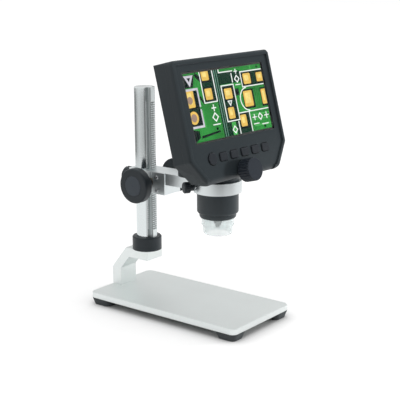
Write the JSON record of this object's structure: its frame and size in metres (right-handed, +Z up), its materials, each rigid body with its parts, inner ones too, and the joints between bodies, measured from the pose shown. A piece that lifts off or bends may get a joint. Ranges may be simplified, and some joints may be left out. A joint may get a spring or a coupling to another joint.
{
  "type": "digital microscope",
  "caption": "Digital microscope: a tilted screen head with lens barrel and focus knob, clamped in a ring arm that a rack drive lifts along a column on a footed base plate.",
  "frame": {"origin": "bottom centre of the object, under the middle of the base plate, where the rubber feet stand", "axes": "+X right as the user faces the screen, -Y towards the user, +Y towards the column, +Z up"},
  "size_m": [0.122, 0.158, 0.2232],
  "materials": {
    "satin_aluminium": "bead-blasted and clear anodised",
    "polished_column": "drawn and polished",
    "rack_steel": "machined",
    "zinc_steel": "zinc plated",
    "black_steel": "black oxide",
    "brass": "turned",
    "slate_plastic": "fine moulded texture, slate black",
    "black_plastic": "satin black",
    "cap_plastic": "satin dark grey",
    "button_plastic": "satin slate",
    "focus_plastic": "satin slate",
    "white_nylon": "plain nylon",
    "black_rubber": "moulded rubber",
    "barrel_metal": "black anodised",
    "snout_metal": "turned",
    "clear_glass": "clear",
    "clear_plastic": "clear moulded",
    "screen_picture": "lit screen panel",
    "board_green": "solder mask",
    "white_board": "white solder mask",
    "chip_plastic": "moulded",
    "battery_foil": "foil pouch",
    "lamp_white": "lamp lens"
  },
  "bodies": {
    "stand": {"base_plate": "satin_aluminium", "rubber_feet": "black_rubber", "foot_screws": "zinc_steel", "neck_bracket": "satin_aluminium", "bracket_screws": "zinc_steel", "column_collar": "black_plastic", "collar_screw": "black_steel", "column": "polished_column", "rack": "rack_steel", "column_bolt": "black_steel"},
    "carriage": {"slide_block": "satin_aluminium", "ring_arm": "satin_aluminium", "side_screws": "zinc_steel", "pinion_bushes": "brass", "friction_pad": "white_nylon"},
    "lock": {"lock_knob": "black_plastic", "lock_screw": "zinc_steel"},
    "drive": {"pinion_shaft": "rack_steel", "left_rack_knob": "black_plastic", "right_rack_knob": "black_plastic", "knob_caps": "cap_plastic", "knob_grub_screws": "black_steel"},
    "clamp": {"clamp_knob": "black_plastic", "clamp_screw": "zinc_steel"},
    "head": {"rear_housing": "slate_plastic", "front_housing": "slate_plastic", "housing_screws": "black_steel", "screen_window": "clear_glass", "lcd_panel": "screen_picture", "lcd_frame": "black_plastic", "main_board": "board_green", "board_chips": "chip_plastic", "button_board": "board_green", "tact_switches": "chip_plastic", "battery": "battery_foil", "usb_socket": "zinc_steel", "card_socket": "zinc_steel", "barrel_tube": "barrel_metal", "nose_ring": "barrel_metal", "led_board": "white_board", "leds": "lamp_white", "clear_hood": "clear_plastic", "sensor_board": "board_green", "image_sensor": "chip_plastic"},
    "key_1": {"button_1": "button_plastic"},
    "key_2": {"button_2": "button_plastic"},
    "key_3": {"button_3": "button_plastic"},
    "key_4": {"button_4": "button_plastic"},
    "key_5": {"button_5": "button_plastic"},
    "key_6": {"button_6": "button_plastic"},
    "focus": {"focus_knob": "focus_plastic", "focus_shaft": "zinc_steel", "focus_pinion": "brass"},
    "lens": {"lens_carrier": "barrel_metal", "lens_snout": "snout_metal", "objective_lens": "clear_glass"}
  },
  "joints": [
    {"name": "carriage_lift", "type": "slide", "parent": "stand", "child": "carriage", "axis": [0, 0, 1], "range_m": [-0.041, 0.065]},
    {"name": "drive_turn", "type": "hinge", "parent": "carriage", "child": "drive", "pos_m": [0, 0.0335, 0.1114], "axis": [1, 0, 0], "range_deg": [-1040, 656]},
    {"name": "lock_turn", "type": "hinge", "parent": "carriage", "child": "lock", "pos_m": [0, 0.06, 0.1114], "axis": [0, 1, 0], "range_deg": [-20, 360]},
    {"name": "clamp_turn", "type": "hinge", "parent": "carriage", "child": "clamp", "pos_m": [-0.02097, -0.01908, 0.116], "axis": [-0.8387, 0.5446, 0], "range_deg": [-20, 360]},
    {"name": "head_swivel", "type": "hinge", "parent": "carriage", "child": "head", "pos_m": [0, -0.0327, 0.116], "axis": [0, 0, 1], "continuous": true},
    {"name": "key_1_press", "type": "slide", "parent": "head", "child": "key_1", "axis": [0.0589, 0.9637, -0.2605], "range_m": [0, 0.0004], "stiffness_N_per_m": 300},
    {"name": "key_2_press", "type": "slide", "parent": "head", "child": "key_2", "axis": [0.0589, 0.9637, -0.2605], "range_m": [0, 0.0004], "stiffness_N_per_m": 300},
    {"name": "key_3_press", "type": "slide", "parent": "head", "child": "key_3", "axis": [0.0589, 0.9637, -0.2605], "range_m": [0, 0.0004], "stiffness_N_per_m": 300},
    {"name": "key_4_press", "type": "slide", "parent": "head", "child": "key_4", "axis": [0.0589, 0.9637, -0.2605], "range_m": [0, 0.0004], "stiffness_N_per_m": 300},
    {"name": "key_5_press", "type": "slide", "parent": "head", "child": "key_5", "axis": [0.0589, 0.9637, -0.2605], "range_m": [0, 0.0004], "stiffness_N_per_m": 300},
    {"name": "key_6_press", "type": "slide", "parent": "head", "child": "key_6", "axis": [0.0589, 0.9637, -0.2605], "range_m": [0, 0.0004], "stiffness_N_per_m": 300},
    {"name": "focus_turn", "type": "hinge", "parent": "head", "child": "focus", "pos_m": [-0.0012, -0.06045, 0.13205], "axis": [-0.0589, -0.9637, 0.2605], "range_deg": [-87.6, 87.6]},
    {"name": "lens_slide", "type": "slide", "parent": "head", "child": "lens", "axis": [0, 0, 1], "range_m": [-0.0038, 0.0038]}
  ],
  "couplings": [
    {"joint": "drive_turn", "follows": "carriage_lift", "rad_per_m": -277.78},
    {"joint": "focus_turn", "follows": "lens_slide", "rad_per_m": 402.28}
  ]
}
